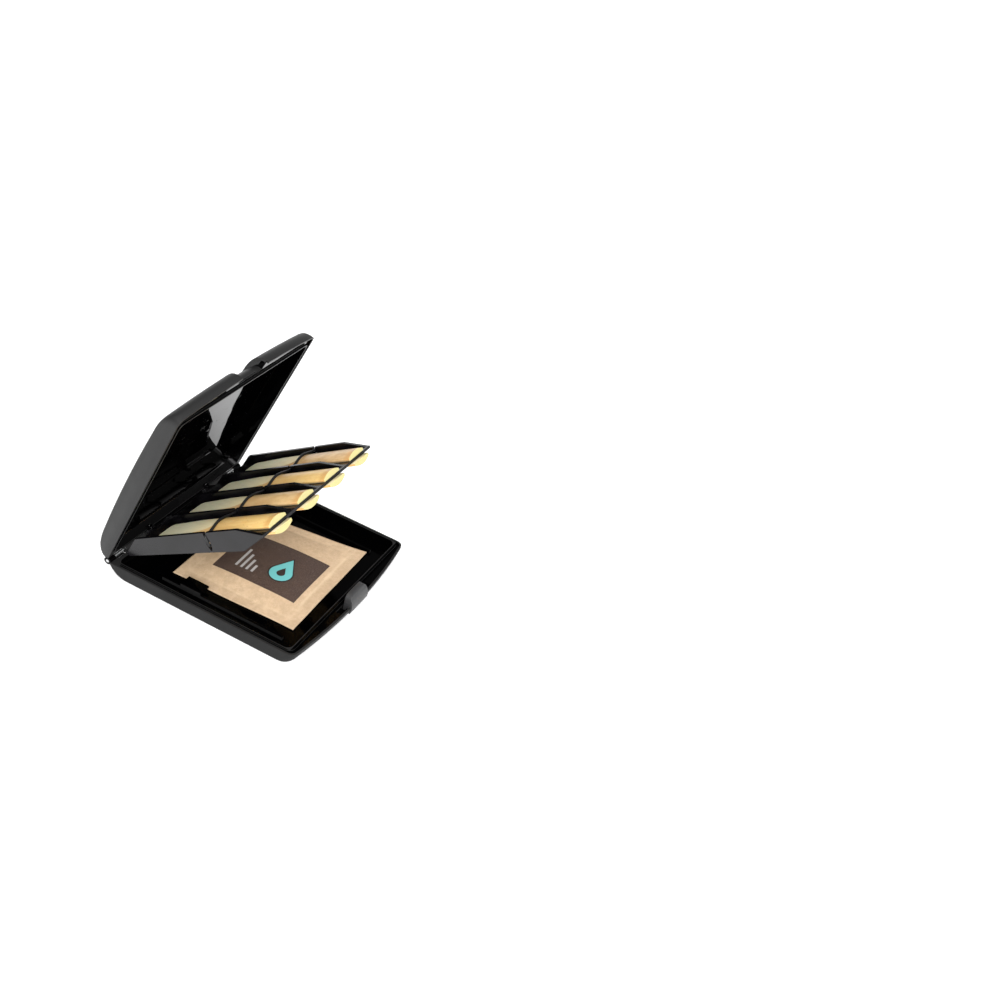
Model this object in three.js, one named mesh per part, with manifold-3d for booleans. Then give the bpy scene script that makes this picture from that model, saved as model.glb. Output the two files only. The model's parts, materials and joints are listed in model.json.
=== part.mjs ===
// A hinged case for eight clarinet reeds, shown open: a tray with a humidity pack, a lid,
// a two-sided reed holder on the same hinge pin, and a thumb catch at the front.
// Millimetres, +Z up. The hinge line runs along X, the front of the case faces -Y, and the
// origin lies on the flat face that the tray rests on, below the middle of the case's sides.
//
// Each moving piece is modelled shut, in hinge coordinates: "reach" is the distance in front
// of the hinge line (so y = -reach) and "height" is the distance above the parting plane.
// The reeds set the size of the holder, and the holder sets the size of the case.

import * as THREE from 'three';
import { mergeVertices, toCreasedNormals } from 'three/addons/utils/BufferGeometryUtils.js';
import Module from 'manifold-3d';

const wasm = await Module();
wasm.setup();

// Reeds
const reedLength = 67.5;
const reedButtWidth = 11.8;
const reedTipWidth = 13;
const reedThickness = 2.7;
const reedEdge = 1.1;
const reedTipThickness = 0.25;
const reedBark = 27;
const reedTipRound = 2.2;
const reedEdgeShare = 0.6;
const reedTipWidthShare = 0.72;
const reedTipShares = [0, 0.5, 0.8, 1];
const vampPower = 0.9;

// Reed holder
const channels = 4;
const reedRoom = 7.6;
const reedTipGap = 9.5;
const topReedInset = 0.2;
const lowerReedOverhang = 1.8;
const holderRise = 2.8;
const holderPlateBack = 13;
const plateThickness = 1.2;
const wallThickness = 1.5;
const wallHalfHeight = 4;
const endWallDrop = 6;
const wallTaper = 13.4;
const wallHeel = 7.4;
const wallHeelHeight = 2.3;
const wallHeelRun = 0.8;
const wallBackTop = 16.8;
const wallNose = 0.8;
const armWidth = 3;
const armHalfHeight = 1.3;
const armEnd = 14;
const holderKnuckleWidth = 6;
const seatGap = 0.2;

// Case
const holderFrontGap = 4.4;
const holderSideGap = 2.15;
const frontBow = 4;
const frontCorner = 3;
const packRoofGap = 0.45;
const cordRoofGap = 0.4;
const lidDome = 1.6;
const partingGap = 0.3;
const sideRound = 0.8;

// Walls
const trayFloor = 1.5;
const trayWall = 2.4;
const trayFrontWall = 3.3;
const trayBackWall = 4;
const lidRoof = 1.1;
const lidWall = 3.4;
const lidFrontWall = 4.3;
const lidBackWall = 3.4;
const rimWall = 1;
const cavityCorner = 3;

// Rounded backs and fronts, each from its end of the rim to the flat face
const trayBackSetback = 0.2;
const trayBackRun = 10.8;
const trayFrontRun = 6;
const lidBackSetback = 0.6;
const lidBackRun = 14;
const lidFrontRun = 12;
const trayBackShares = [[0.2, 0.42], [0.36, 1]];
const trayFrontShares = [[0.62, 0.99], [0.98, 0.52]];
const lidBackShares = [[0, 0.58], [0.26, 0.93]];
const lidFrontShares = [[0.52, 0.99], [0.98, 0.84]];

// Rim: a raised lip round the tray stands in a channel round the lid
const lipWidth = 0.8;
const frontLipWidth = 1.5;
const lipRise = 0.35;
const channelDepth = 0.9;
const channelInnerWall = 0.7;
const rimBackEnd = 6;

// Hinge
const pinRadius = 0.8;
const pinEndInset = 0.2;
const boreClearance = 0.25;
const knuckleRadius = 1.8;
const swingClearance = 0.3;
const sideKnuckleWidth = 3.8;
const lidKnuckleWidth = 13;
const lidKnuckleLeaf = 3;

// Elastic cord that holds the reeds
const cordRadius = 0.5;
const cordSetback = 31.4;
const cordSlitHeight = 2.4;
const cordSlitWidth = 1.4;
const cordSinkDepth = 0.7;
const leafDrop = 5;
const leafRise = 1.9;
const leafWidth = 2.4;
const leafPower = 0.7;
const cordSides = 8;

// Humidity pack and its clips
const packWidth = 66;
const packLength = 64;
const packThickness = 3;
const packSeam = 0.5;
const packSeamWidth = 5;
const packFrontGap = 8.6;
const packShift = 2;
const packCrownPower = 2.6;
const packRibThickness = 1.2;
const packRibHeight = 1.6;
const packRibGap = 3.4;
const clipSetback = 10;
const clipLength = 10.8;
const clipHeight = 3.1;
const clipThickness = 0.9;
const clipOverhang = 1.5;

// Thumb catch
const catchWidth = 14.6;
const catchTopWidth = 13.4;
const catchRise = 5.2;
const catchFoot = 1.4;
const catchBackGap = 0.9;
const catchBulge = 0.3;
const catchCorner = 2.8;
const catchPivotInset = 1.5;
const catchPivotHeight = 2.9;
const catchStubRadius = 1;
const catchStubLength = 1.2;
const catchNoseDepth = 0.6;
const catchNoseHeight = 1;
const catchNoseWidth = 9;
const catchLedgeHeight = 1.4;
const catchLedgeThickness = 1;
const catchSlotFloor = 1;
const pocketWidth = 5;
const pocketWall = 1.7;
const pocketFloor = 4.4;
const catchFaceShares = [
  [0.36, 1], [0.6, 0.93], [0.83, 0.76], [0.96, 0.58], [1, 0.42], [0.93, 0.22], [0.74, 0.07], [0.5, 0],
];

// Thumb scoop in the lid, from the notch behind the catch back to the top
const notchDepth = 1;
const notchSideGap = 0.9;
const notchFlare = 1.3;
const scoopRun = 10;
const scoopHeight = 8.3;
const scoopTaper = 1;
const scoopWall = 0.85;
const scoopShares = [[0, 0], [0.05, 0.36], [0.17, 0.56], [0.3, 0.66], [0.71, 0.9], [1, 1]];

// Pose in which the case is shown, in degrees
const lidAngle = 67.8;
const holderAngle = 32.1;
const packAngle = 1.5;

// Overrun of every cut past the face that it opens
const overrun = 2;

// Corners closer than this are one corner
const weldTolerance = 0.0001;

// Worked-out sizes and places
const pitch = reedTipWidth + reedRoom;
const holderWidth = channels * pitch + wallThickness;
const holderFront = holderPlateBack + reedTipGap + reedLength + topReedInset;
const wallKnee = holderFront - wallTaper;
const cordReach = holderFront - cordSetback;
const cordCrown = plateThickness / 2 + seatGap + reedThickness + seatGap + cordRadius;
const cordTurn = cordRadius + seatGap;
const caseWidth = holderWidth + 2 * (holderSideGap + lidWall);
const trayHeight = trayFloor + seatGap + packThickness + packRoofGap + cordCrown + cordRadius - holderRise;
const lidHeight = holderRise + cordCrown + cordRadius + cordRoofGap + lidRoof - lidDome;
const trayFrontInside = holderFront + holderFrontGap;
const sideReach = trayFrontInside + trayFrontWall;
const lidFrontInside = sideReach - lidFrontWall;
const restReach = sideReach / 2;
const packBackReach = trayFrontInside - packFrontGap - packLength;
const clipBackReach = packBackReach + clipSetback;
const notchBackReach = sideReach - notchDepth;
const catchBackReach = notchBackReach + catchBackGap;
const catchPivotReach = catchBackReach + catchPivotInset;
const half = caseWidth / 2;
const trayRim = -partingGap / 2;
const lidRim = partingGap / 2;
const trayInsideHalf = half - trayWall;
const lidInsideHalf = half - lidWall;
const channelInnerHalf = lidInsideHalf + channelInnerWall;
const channelInnerFront = lidFrontInside + channelInnerWall;
const clearRadius = knuckleRadius + swingClearance;
const middleKnuckleHalf = pitch - holderKnuckleWidth / 2 - swingClearance;
const lidKnuckleNear = pitch + holderKnuckleWidth / 2 + swingClearance;
const lidKnuckleFar = lidKnuckleNear + lidKnuckleWidth;
const catchHalf = catchWidth / 2;

// The front of the case at x: bowed, with rounded corners. The rim's outline is inset from it.
function frontReach(x, inset = 0) {
  const round = frontCorner - inset;
  const past = Math.max(0, Math.abs(x) - (half - frontCorner));
  const fall = round - Math.sqrt(Math.max(0, round ** 2 - past ** 2));
  return sideReach + frontBow * (1 - (x / half) ** 2) - inset - fall;
}

// Places across the front, closer together in its rounded corners.
function acrossFront(edge, steps) {
  const straight = half - frontCorner;
  const cornerSteps = 3;
  const corner = [];
  for (let i = 1; i <= cornerSteps; i += 1) {
    corner.push(straight + (edge - straight) * Math.sin((Math.PI / 2) * i / cornerSteps));
  }
  const middle = [];
  for (let i = 0; i <= steps; i += 1) {
    middle.push(straight * (2 * i / steps - 1));
  }
  return [...corner.map((x) => -x).reverse(), ...middle, ...corner];
}

function lidTop(reach) {
  const middle = sideReach / 2;
  return lidHeight + lidDome * (1 - ((reach - middle) / middle) ** 2);
}

// Solids

function toSolid(geometry) {
  const bare = geometry.clone();
  bare.deleteAttribute('normal');
  bare.deleteAttribute('uv');
  const merged = mergeVertices(bare, weldTolerance);
  return new wasm.Manifold(new wasm.Mesh({
    numProp: 3,
    vertProperties: new Float32Array(merged.attributes.position.array),
    triVerts: new Uint32Array(merged.index.array),
  }));
}

function fromSolid(solid) {
  const mesh = solid.getMesh();
  const geometry = new THREE.BufferGeometry();
  geometry.setAttribute('position', new THREE.BufferAttribute(mesh.vertProperties, mesh.numProp));
  geometry.setIndex(new THREE.BufferAttribute(mesh.triVerts, 1));
  return toCreasedNormals(geometry, Math.PI / 6);
}

function joined(solids) {
  return solids.reduce((whole, solid) => whole.add(solid));
}

function cutBy(solid, cutters) {
  return cutters.reduce((rest, cutter) => rest.subtract(cutter), solid);
}

function box(x0, x1, reach0, reach1, height0, height1) {
  const geometry = new THREE.BoxGeometry(x1 - x0, reach1 - reach0, height1 - height0);
  geometry.translate((x0 + x1) / 2, -(reach0 + reach1) / 2, (height0 + height1) / 2);
  return toSolid(geometry);
}

function rod(x0, x1, radius, reach, height, sides = 28) {
  const geometry = new THREE.CylinderGeometry(radius, radius, x1 - x0, sides);
  geometry.rotateZ(Math.PI / 2);
  geometry.translate((x0 + x1) / 2, -reach, height);
  return toSolid(geometry);
}

function mirrored(make) {
  return [make(-1), make(1)];
}

function rodAt(side, near, far, radius, reach, height) {
  return rod(Math.min(side * near, side * far), Math.max(side * near, side * far), radius, reach, height);
}

// A closed body through a stack of outlines with equal numbers of points.
function loft(sections) {
  const count = sections[0].length;
  const positions = [];
  const triangles = [];
  for (const section of sections) {
    for (const point of section) {
      positions.push(point.x, point.y, point.z);
    }
  }
  for (let level = 0; level + 1 < sections.length; level += 1) {
    for (let i = 0; i < count; i += 1) {
      const a = level * count + i;
      const b = level * count + (i + 1) % count;
      triangles.push(a, b, b + count);
      triangles.push(a, b + count, a + count);
    }
  }
  const lastStart = (sections.length - 1) * count;
  for (const [a, b, c] of capTriangles(sections[0])) {
    triangles.push(a, c, b);
  }
  for (const [a, b, c] of capTriangles(sections[sections.length - 1])) {
    triangles.push(lastStart + a, lastStart + b, lastStart + c);
  }
  const geometry = new THREE.BufferGeometry();
  geometry.setAttribute('position', new THREE.Float32BufferAttribute(positions, 3));
  geometry.setIndex(triangles);
  if (signedVolume(positions, triangles) < 0) {
    geometry.setIndex(flipped(triangles));
  }
  return toSolid(geometry);
}

// Triangles of a flat outline, wound the way its points run.
function capTriangles(section) {
  const normal = new THREE.Vector3();
  section.forEach((point, i) => {
    const next = section[(i + 1) % section.length];
    normal.add(new THREE.Vector3().crossVectors(point, next));
  });
  const turn = new THREE.Quaternion().setFromUnitVectors(normal.normalize(), new THREE.Vector3(0, 0, 1));
  const flat = section.map((point) => {
    const turned = point.clone().applyQuaternion(turn);
    return new THREE.Vector2(turned.x, turned.y);
  });
  return THREE.ShapeUtils.triangulateShape(flat, []);
}

function signedVolume(positions, triangles) {
  const corner = (i) => new THREE.Vector3().fromArray(positions, 3 * i);
  let sum = 0;
  for (let t = 0; t < triangles.length; t += 3) {
    const [a, b, c] = [corner(triangles[t]), corner(triangles[t + 1]), corner(triangles[t + 2])];
    sum += a.dot(b.cross(c));
  }
  return sum;
}

function flipped(triangles) {
  const result = [];
  for (let t = 0; t < triangles.length; t += 3) {
    result.push(triangles[t], triangles[t + 2], triangles[t + 1]);
  }
  return result;
}

// A prism on a plan outline of [x, reach] points.
function planPrism(points, height0, height1) {
  const shape = new THREE.Shape(points.map(([x, reach]) => new THREE.Vector2(x, -reach)));
  const geometry = new THREE.ExtrudeGeometry(shape, { depth: height1 - height0, bevelEnabled: false });
  geometry.translate(0, 0, height0);
  return toSolid(geometry);
}

// A prism along X on a side outline of [reach, height] points.
function sidePrism(points, x0, x1) {
  const shape = new THREE.Shape(points.map(([reach, height]) => new THREE.Vector2(-reach, height)));
  const geometry = new THREE.ExtrudeGeometry(shape, { depth: x1 - x0, bevelEnabled: false });
  const turn = new THREE.Matrix4().makeBasis(
    new THREE.Vector3(0, 1, 0),
    new THREE.Vector3(0, 0, 1),
    new THREE.Vector3(1, 0, 0),
  );
  geometry.applyMatrix4(turn);
  geometry.translate(x0, 0, 0);
  return toSolid(geometry);
}

// Outlines

function bezier(start, firstControl, secondControl, end, steps) {
  const curve = new THREE.CubicBezierCurve(
    new THREE.Vector2(...start),
    new THREE.Vector2(...firstControl),
    new THREE.Vector2(...secondControl),
    new THREE.Vector2(...end),
  );
  return curve.getPoints(steps).map((point) => [point.x, point.y]);
}

// The tray's skin in side view, from the back end of its rim, under it, to the front end.
function trayPath(front) {
  const back = [trayBackSetback, trayRim];
  const bottom = -trayHeight;
  const drop = bottom - trayRim;
  const backShare = ([run, fall]) => [back[0] + run * trayBackRun, trayRim + fall * drop];
  const frontShare = ([run, fall]) => [front - (1 - run) * trayFrontRun, trayRim + fall * drop];
  return [
    ...bezier(back, ...trayBackShares.map(backShare), [back[0] + trayBackRun, bottom], 9),
    ...bezier([front - trayFrontRun, bottom], ...trayFrontShares.map(frontShare), [front, trayRim], 9),
  ];
}

// The lid's skin in side view, from the back end of its rim, over it, to the front end.
function lidPath(front) {
  const back = [lidBackSetback, lidRim];
  const topStart = lidBackSetback + lidBackRun;
  const topEnd = front - lidFrontRun;
  const rise = lidTop(topStart) - lidRim;
  const fall = lidTop(topEnd) - lidRim;
  const backShare = ([run, up]) => [back[0] + run * lidBackRun, lidRim + up * rise];
  const frontShare = ([run, up]) => [front - (1 - run) * lidFrontRun, lidRim + up * fall];
  const steps = 7;
  const top = [];
  for (let i = 1; i < steps; i += 1) {
    const reach = topStart + (topEnd - topStart) * i / steps;
    top.push([reach, lidTop(reach)]);
  }
  return [
    ...bezier(back, ...lidBackShares.map(backShare), [topStart, lidTop(topStart)], 9),
    ...top,
    ...bezier([topEnd, lidTop(topEnd)], ...lidFrontShares.map(frontShare), [front, lidRim], 10),
  ];
}

// The path moved inwards. Its ends stay level with the rim.
function insetPath(path, distance, side) {
  return path.map((point, i) => {
    const before = path[Math.max(i - 1, 0)];
    const after = path[Math.min(i + 1, path.length - 1)];
    const along = new THREE.Vector2(after[0] - before[0], after[1] - before[1]).normalize();
    const moved = [point[0] - side * along.y * distance, point[1] + side * along.x * distance];
    if (i === 0 || i === path.length - 1) {
      moved[1] = point[1];
    }
    return moved;
  });
}

// A body with flat sides, whose skin follows a side path that changes with the bowed front.
function caseBody(pathAt, side, inset, halfWidth, round, open) {
  const stations = [];
  const roundSteps = 3;
  const bowSteps = 18;
  for (let i = 0; i < roundSteps && round > 0; i += 1) {
    const angle = (Math.PI / 2) * i / roundSteps;
    stations.push([halfWidth - round * (1 - Math.cos(angle)), round * (1 - Math.sin(angle))]);
  }
  const all = [
    ...stations.map(([x, extra]) => [-x, extra]),
    ...acrossFront(halfWidth - round, bowSteps).map((x) => [x, 0]),
    ...[...stations].reverse(),
  ];
  const sections = all.map(([x, extra]) => {
    const path = insetPath(pathAt(frontReach(x)), inset + extra, side);
    const outline = open === 0 ? path : [
      [path[0][0], path[0][1] + open],
      ...path,
      [path[path.length - 1][0], path[path.length - 1][1] + open],
    ];
    return outline.map(([reach, height]) => new THREE.Vector3(x, -reach, height));
  });
  return loft(sections);
}

// Points round the front of a rim: straight sides and either the bowed or a straight front.
function bowedRim(inset, backReach) {
  const edge = half - inset;
  const steps = 22;
  const front = acrossFront(edge, steps).map((x) => [x, frontReach(x, inset)]);
  return [[-edge, backReach], ...front, [edge, backReach]];
}

function straightRim(edge, front, corner, backReach) {
  const points = [[-edge, backReach]];
  const steps = 5;
  for (const side of [-1, 1]) {
    for (let i = 0; i <= steps; i += 1) {
      const angle = (Math.PI / 2) * (side < 0 ? i : steps - i) / steps;
      const across = edge - corner * (1 - Math.cos(angle));
      points.push([side * across, front - corner * (1 - Math.sin(angle))]);
    }
  }
  points.push([edge, backReach]);
  return points;
}

function rimBand(outer, inner, height0, height1) {
  return planPrism([...outer, ...[...inner].reverse()], height0, height1);
}

// A box-shaped hollow with rounded upright corners.
function roundedHollow(edge, backReach, front, corner, height0, height1) {
  const points = [];
  const steps = 5;
  const corners = [[1, 1], [-1, 1], [-1, -1], [1, -1]];
  corners.forEach(([sx, sr], quarter) => {
    for (let i = 0; i <= steps; i += 1) {
      const angle = (Math.PI / 2) * (quarter + i / steps);
      const centre = [sx * (edge - corner), sr > 0 ? front - corner : backReach + corner];
      points.push([centre[0] + corner * Math.cos(angle), centre[1] + corner * Math.sin(angle)]);
    }
  });
  return planPrism(points, height0, height1);
}

// Tray

function trayKnuckles() {
  const sides = mirrored((side) => rodAt(
    side, half - sideKnuckleWidth, half - pinEndInset, knuckleRadius, 0, 0,
  ));
  return [...sides, rod(-middleKnuckleHalf, middleKnuckleHalf, knuckleRadius, 0, 0)];
}

function trayHingeClearance() {
  return mirrored((side) => rodAt(
    side,
    middleKnuckleHalf + swingClearance,
    half - sideKnuckleWidth - swingClearance,
    clearRadius, 0, 0,
  ));
}

function armNotches(height0, height1, backWall) {
  return mirrored((side) => {
    const centre = side * pitch;
    const reach = armWidth / 2 + swingClearance;
    return box(centre - reach, centre + reach, 0, backWall + swingClearance, height0, height1);
  });
}

function packRibs() {
  const inner = packWidth / 2 + packRibGap;
  const floor = -trayHeight + trayFloor;
  return mirrored((side) => box(
    Math.min(side * inner, side * (inner + packRibThickness)),
    Math.max(side * inner, side * (inner + packRibThickness)),
    packBackReach, packBackReach + packLength,
    floor - trayFloor / 2, floor + packRibHeight,
  ));
}

function packClips() {
  const inner = packWidth / 2 + packRibGap;
  const outer = inner + packRibThickness;
  const floor = -trayHeight + trayFloor;
  const top = floor + clipHeight;
  return mirrored((side) => {
    const post = box(
      Math.min(side * inner, side * outer), Math.max(side * inner, side * outer),
      clipBackReach, clipBackReach + clipLength, floor - trayFloor / 2, top,
    );
    const tip = packWidth / 2 - clipOverhang;
    const lip = box(
      Math.min(side * tip, side * outer), Math.max(side * tip, side * outer),
      clipBackReach, clipBackReach + clipLength, top - clipThickness, top,
    );
    return post.add(lip);
  });
}

function catchSlot() {
  const edge = catchHalf + swingClearance;
  const floor = -trayHeight + catchSlotFloor;
  const front = sideReach + frontBow + overrun;
  const slot = box(-edge, edge, notchBackReach, front, floor, overrun);
  const stubs = rod(
    -catchHalf - catchStubLength - swingClearance, catchHalf + catchStubLength + swingClearance,
    catchStubRadius + boreClearance, catchPivotReach, -trayHeight + catchPivotHeight,
  );
  const pockets = mirrored((side) => {
    const near = edge - overrun;
    const far = edge + pocketWidth;
    return box(
      Math.min(side * near, side * far), Math.max(side * near, side * far),
      notchBackReach, frontReach(far) - pocketWall, -trayHeight + pocketFloor, overrun,
    );
  });
  return [slot, stubs, ...pockets];
}

function traySolid() {
  const body = caseBody(trayPath, 1, 0, half, sideRound, 0);
  const skin = caseBody(trayPath, 1, trayFloor, half - sideRound, 0, overrun);
  const hollow = roundedHollow(
    trayInsideHalf, trayBackWall, trayFrontInside, cavityCorner, -trayHeight + trayFloor, overrun,
  ).intersect(skin);
  const lipOuter = straightRim(
    trayInsideHalf + lipWidth, trayFrontInside + frontLipWidth, cavityCorner, rimBackEnd,
  );
  const lipInner = straightRim(trayInsideHalf, trayFrontInside, cavityCorner, rimBackEnd);
  const lip = rimBand(lipOuter, lipInner, trayRim - channelDepth, lipRise);
  const channel = rimBand(bowedRim(rimWall, rimBackEnd), lipOuter, trayRim - channelDepth, overrun);
  const shell = cutBy(body, [hollow, channel, ...trayHingeClearance()]);
  const carried = joined([shell, lip, ...trayKnuckles(), ...packRibs(), ...packClips()]);
  return cutBy(carried, [
    rod(-half - overrun, half + overrun, pinRadius + boreClearance, 0, 0),
    ...armNotches(-armHalfHeight - swingClearance, overrun, trayBackWall),
    ...catchSlot(),
  ]);
}

// Lid

function lidKnuckles() {
  return mirrored((side) => {
    const barrel = rodAt(side, lidKnuckleNear, lidKnuckleFar, knuckleRadius, 0, 0);
    const leaf = box(
      Math.min(side * lidKnuckleNear, side * lidKnuckleFar),
      Math.max(side * lidKnuckleNear, side * lidKnuckleFar),
      0, lidKnuckleLeaf, lidRim, knuckleRadius,
    );
    return barrel.add(leaf);
  });
}

function lidHingeClearance() {
  const near = lidKnuckleNear - swingClearance;
  const far = lidKnuckleFar + swingClearance;
  return [
    rod(-near, near, clearRadius, 0, 0),
    ...mirrored((side) => rodAt(side, far, half + overrun, clearRadius, 0, 0)),
  ];
}

// The cutter of the thumb scoop: upright behind the catch, then sloping back to the lid's top.
// With a margin of one wall it gives the bulge that the scoop makes inside the lid.
function lidScoop(margin) {
  const inner = catchHalf + notchSideGap + margin;
  const outer = inner + notchFlare;
  const narrow = inner - scoopTaper;
  const back = notchBackReach - scoopRun;
  const front = sideReach + frontBow + overrun;
  const top = lidHeight + lidDome + overrun;
  const plan = planPrism([
    [-narrow, back - overrun],
    [-inner, notchBackReach],
    [-outer, front],
    [outer, front],
    [inner, notchBackReach],
    [narrow, back - overrun],
  ], -overrun, top);
  const floor = scoopShares.map(([run, rise]) => [
    notchBackReach - run * scoopRun,
    rise * scoopHeight - margin,
  ]);
  const side = sidePrism([
    [notchBackReach, -overrun],
    ...floor,
    [back, top],
    [front, top],
    [front, -overrun],
  ], -outer, outer);
  return plan.intersect(side);
}

function catchLedge() {
  const edge = catchNoseWidth / 2;
  return box(
    -edge, edge, notchBackReach - swingClearance, notchBackReach + catchNoseDepth,
    catchLedgeHeight, catchLedgeHeight + catchLedgeThickness,
  );
}

function lidSolid() {
  const body = caseBody(lidPath, -1, 0, half, sideRound, 0);
  const skin = caseBody(lidPath, -1, lidRoof, half - sideRound, 0, -overrun);
  const hollow = roundedHollow(
    lidInsideHalf, lidBackWall, lidFrontInside, cavityCorner, -overrun, lidHeight + lidDome,
  ).intersect(skin).subtract(lidScoop(scoopWall));
  const inner = straightRim(channelInnerHalf, channelInnerFront, cavityCorner, rimBackEnd);
  const channel = rimBand(bowedRim(rimWall, rimBackEnd), inner, -overrun, lidRim + channelDepth);
  const shell = cutBy(body, [hollow, channel, lidScoop(0), ...lidHingeClearance()]);
  return cutBy(joined([shell, ...lidKnuckles(), catchLedge()]), [
    rod(-half - overrun, half + overrun, pinRadius + boreClearance, 0, 0),
    ...armNotches(-overrun, armHalfHeight + swingClearance, lidBackWall),
  ]);
}

// Reed holder

function wallOutline(drop) {
  const top = holderRise + wallHalfHeight;
  return [
    [wallHeel, holderRise - wallHeelHeight],
    [wallBackTop, top],
    [wallKnee, top],
    [holderFront - wallNose, holderRise + plateThickness / 2],
    [holderFront - wallNose, holderRise - plateThickness / 2],
    [wallKnee, holderRise - drop],
    [wallHeel + wallHeelRun, holderRise - wallHalfHeight],
  ];
}

// The slit that the cord crosses walls in, above the plate or below it.
function cordSlit(x0, x1, up) {
  const near = holderRise + up * (cordSlitHeight - cordRadius - seatGap);
  const far = holderRise + up * (wallHalfHeight + overrun);
  return box(
    x0, x1, cordReach - cordSlitWidth / 2, cordReach + cordSlitWidth / 2,
    Math.min(near, far), Math.max(near, far),
  );
}

// Where the cord turns down an end wall: a shallow sink in its outer face, and a leaf-shaped
// hole that the cord comes back through below the plate.
function cordSink(side) {
  const face = holderWidth / 2;
  const steps = 8;
  const points = [];
  const low = holderRise - leafDrop;
  const span = leafDrop + leafRise;
  for (const edge of [1, -1]) {
    for (let i = 0; i < steps; i += 1) {
      const share = edge > 0 ? i / steps : 1 - i / steps;
      const swell = leafWidth / 2 * Math.sin(Math.PI * share) ** leafPower;
      points.push([cordReach + edge * swell, low + span * share]);
    }
  }
  const across = (depth) => (side > 0 ? [face - depth, face + overrun] : [-face - overrun, -face + depth]);
  const leaf = sidePrism(points, ...across(wallThickness + seatGap));
  const strip = box(
    ...across(cordSinkDepth),
    cordReach - cordSlitWidth / 2, cordReach + cordSlitWidth / 2,
    holderRise - cordSlitHeight, holderRise + cordSlitHeight,
  );
  return leaf.add(strip);
}

function holderArm(side) {
  const centre = side * pitch;
  const bar = box(
    centre - armWidth / 2, centre + armWidth / 2, 0, armEnd, -armHalfHeight, armHalfHeight,
  );
  const barrel = rod(centre - holderKnuckleWidth / 2, centre + holderKnuckleWidth / 2, knuckleRadius, 0, 0);
  return bar.add(barrel);
}

function holderSolid() {
  const edge = holderWidth / 2;
  const plate = box(
    -edge, edge, holderPlateBack, holderFront,
    holderRise - plateThickness / 2, holderRise + plateThickness / 2,
  );
  const walls = [];
  for (let i = 0; i <= channels; i += 1) {
    const centre = -edge + wallThickness / 2 + i * pitch;
    const drop = i === 0 || i === channels ? endWallDrop : wallHalfHeight;
    walls.push(sidePrism(wallOutline(drop), centre - wallThickness / 2, centre + wallThickness / 2));
  }
  return cutBy(joined([plate, ...walls, ...mirrored(holderArm)]), [
    cordSlit(-edge - overrun, edge + overrun, 1),
    cordSlit(-edge + wallThickness, edge - wallThickness, -1),
    ...mirrored(cordSink),
    rod(-edge - overrun, edge + overrun, pinRadius + boreClearance, 0, 0),
  ]);
}

// Elastic cord: one loop over the upper reeds, round the end walls and under the lower reeds

function cordRoute() {
  const steps = 9;
  const turnSteps = 4;
  const turnX = holderWidth / 2 - cordSinkDepth;
  const quarter = [];
  for (let channel = 0; channel < channels / 2; channel += 1) {
    for (let i = 0; i < steps; i += 1) {
      const share = i / steps;
      const swell = Math.sin(Math.PI * share) ** 2;
      quarter.push([(channel + share) * pitch, cordSlitHeight + (cordCrown - cordSlitHeight) * swell]);
    }
  }
  for (let i = 0; i <= turnSteps; i += 1) {
    const angle = (Math.PI / 2) * (1 - i / turnSteps);
    quarter.push([
      turnX + cordTurn * Math.cos(angle),
      cordSlitHeight - cordTurn + cordTurn * Math.sin(angle),
    ]);
  }
  const upper = [...quarter.slice(1).map(([x, h]) => [-x, h]).reverse(), ...quarter];
  const lower = upper.map(([x, h]) => [x, -h]).reverse();
  return [...upper, ...lower];
}

function cordSolid() {
  const route = cordRoute();
  const rings = route.map(([x, h], i) => {
    const before = route[(i + route.length - 1) % route.length];
    const after = route[(i + 1) % route.length];
    const along = new THREE.Vector2(after[0] - before[0], after[1] - before[1]).normalize();
    const ring = [];
    for (let k = 0; k < cordSides; k += 1) {
      const angle = 2 * Math.PI * k / cordSides;
      const out = cordRadius * Math.cos(angle);
      const beside = cordRadius * Math.sin(angle);
      ring.push([x + along.y * out, -cordReach + beside, holderRise + h - along.x * out]);
    }
    return ring;
  });
  const positions = rings.flat(2);
  const triangles = [];
  for (let i = 0; i < rings.length; i += 1) {
    for (let k = 0; k < cordSides; k += 1) {
      const a = i * cordSides + k;
      const b = i * cordSides + (k + 1) % cordSides;
      const c = ((i + 1) % rings.length) * cordSides + (k + 1) % cordSides;
      const d = ((i + 1) % rings.length) * cordSides + k;
      triangles.push(a, b, c, a, c, d);
    }
  }
  const geometry = new THREE.BufferGeometry();
  geometry.setAttribute('position', new THREE.Float32BufferAttribute(positions, 3));
  geometry.setIndex(signedVolume(positions, triangles) < 0 ? flipped(triangles) : triangles);
  return toSolid(geometry);
}

// Reed: flat below, domed bark at the butt, and a vamp that thins to the tip

function reedSection(run) {
  const along = run / reedLength;
  const vamp = Math.max(0, (run - reedBark) / (reedLength - reedBark));
  const thickness = reedThickness + (reedTipThickness - reedThickness) * vamp ** vampPower;
  const edgeHeight = Math.min(reedEdge, thickness * reedEdgeShare);
  const fromTip = reedLength - run;
  const round = Math.min(1, fromTip / reedTipRound);
  const taper = reedTipWidthShare + (1 - reedTipWidthShare) * Math.sqrt(1 - (1 - round) ** 2);
  const edge = taper * (reedButtWidth + (reedTipWidth - reedButtWidth) * along) / 2;
  const points = [[edge, 0]];
  const steps = 8;
  for (let i = 0; i <= steps; i += 1) {
    const share = 1 - 2 * i / steps;
    points.push([edge * share, edgeHeight + (thickness - edgeHeight) * (1 - share ** 2)]);
  }
  points.push([-edge, 0]);
  return points;
}

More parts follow.
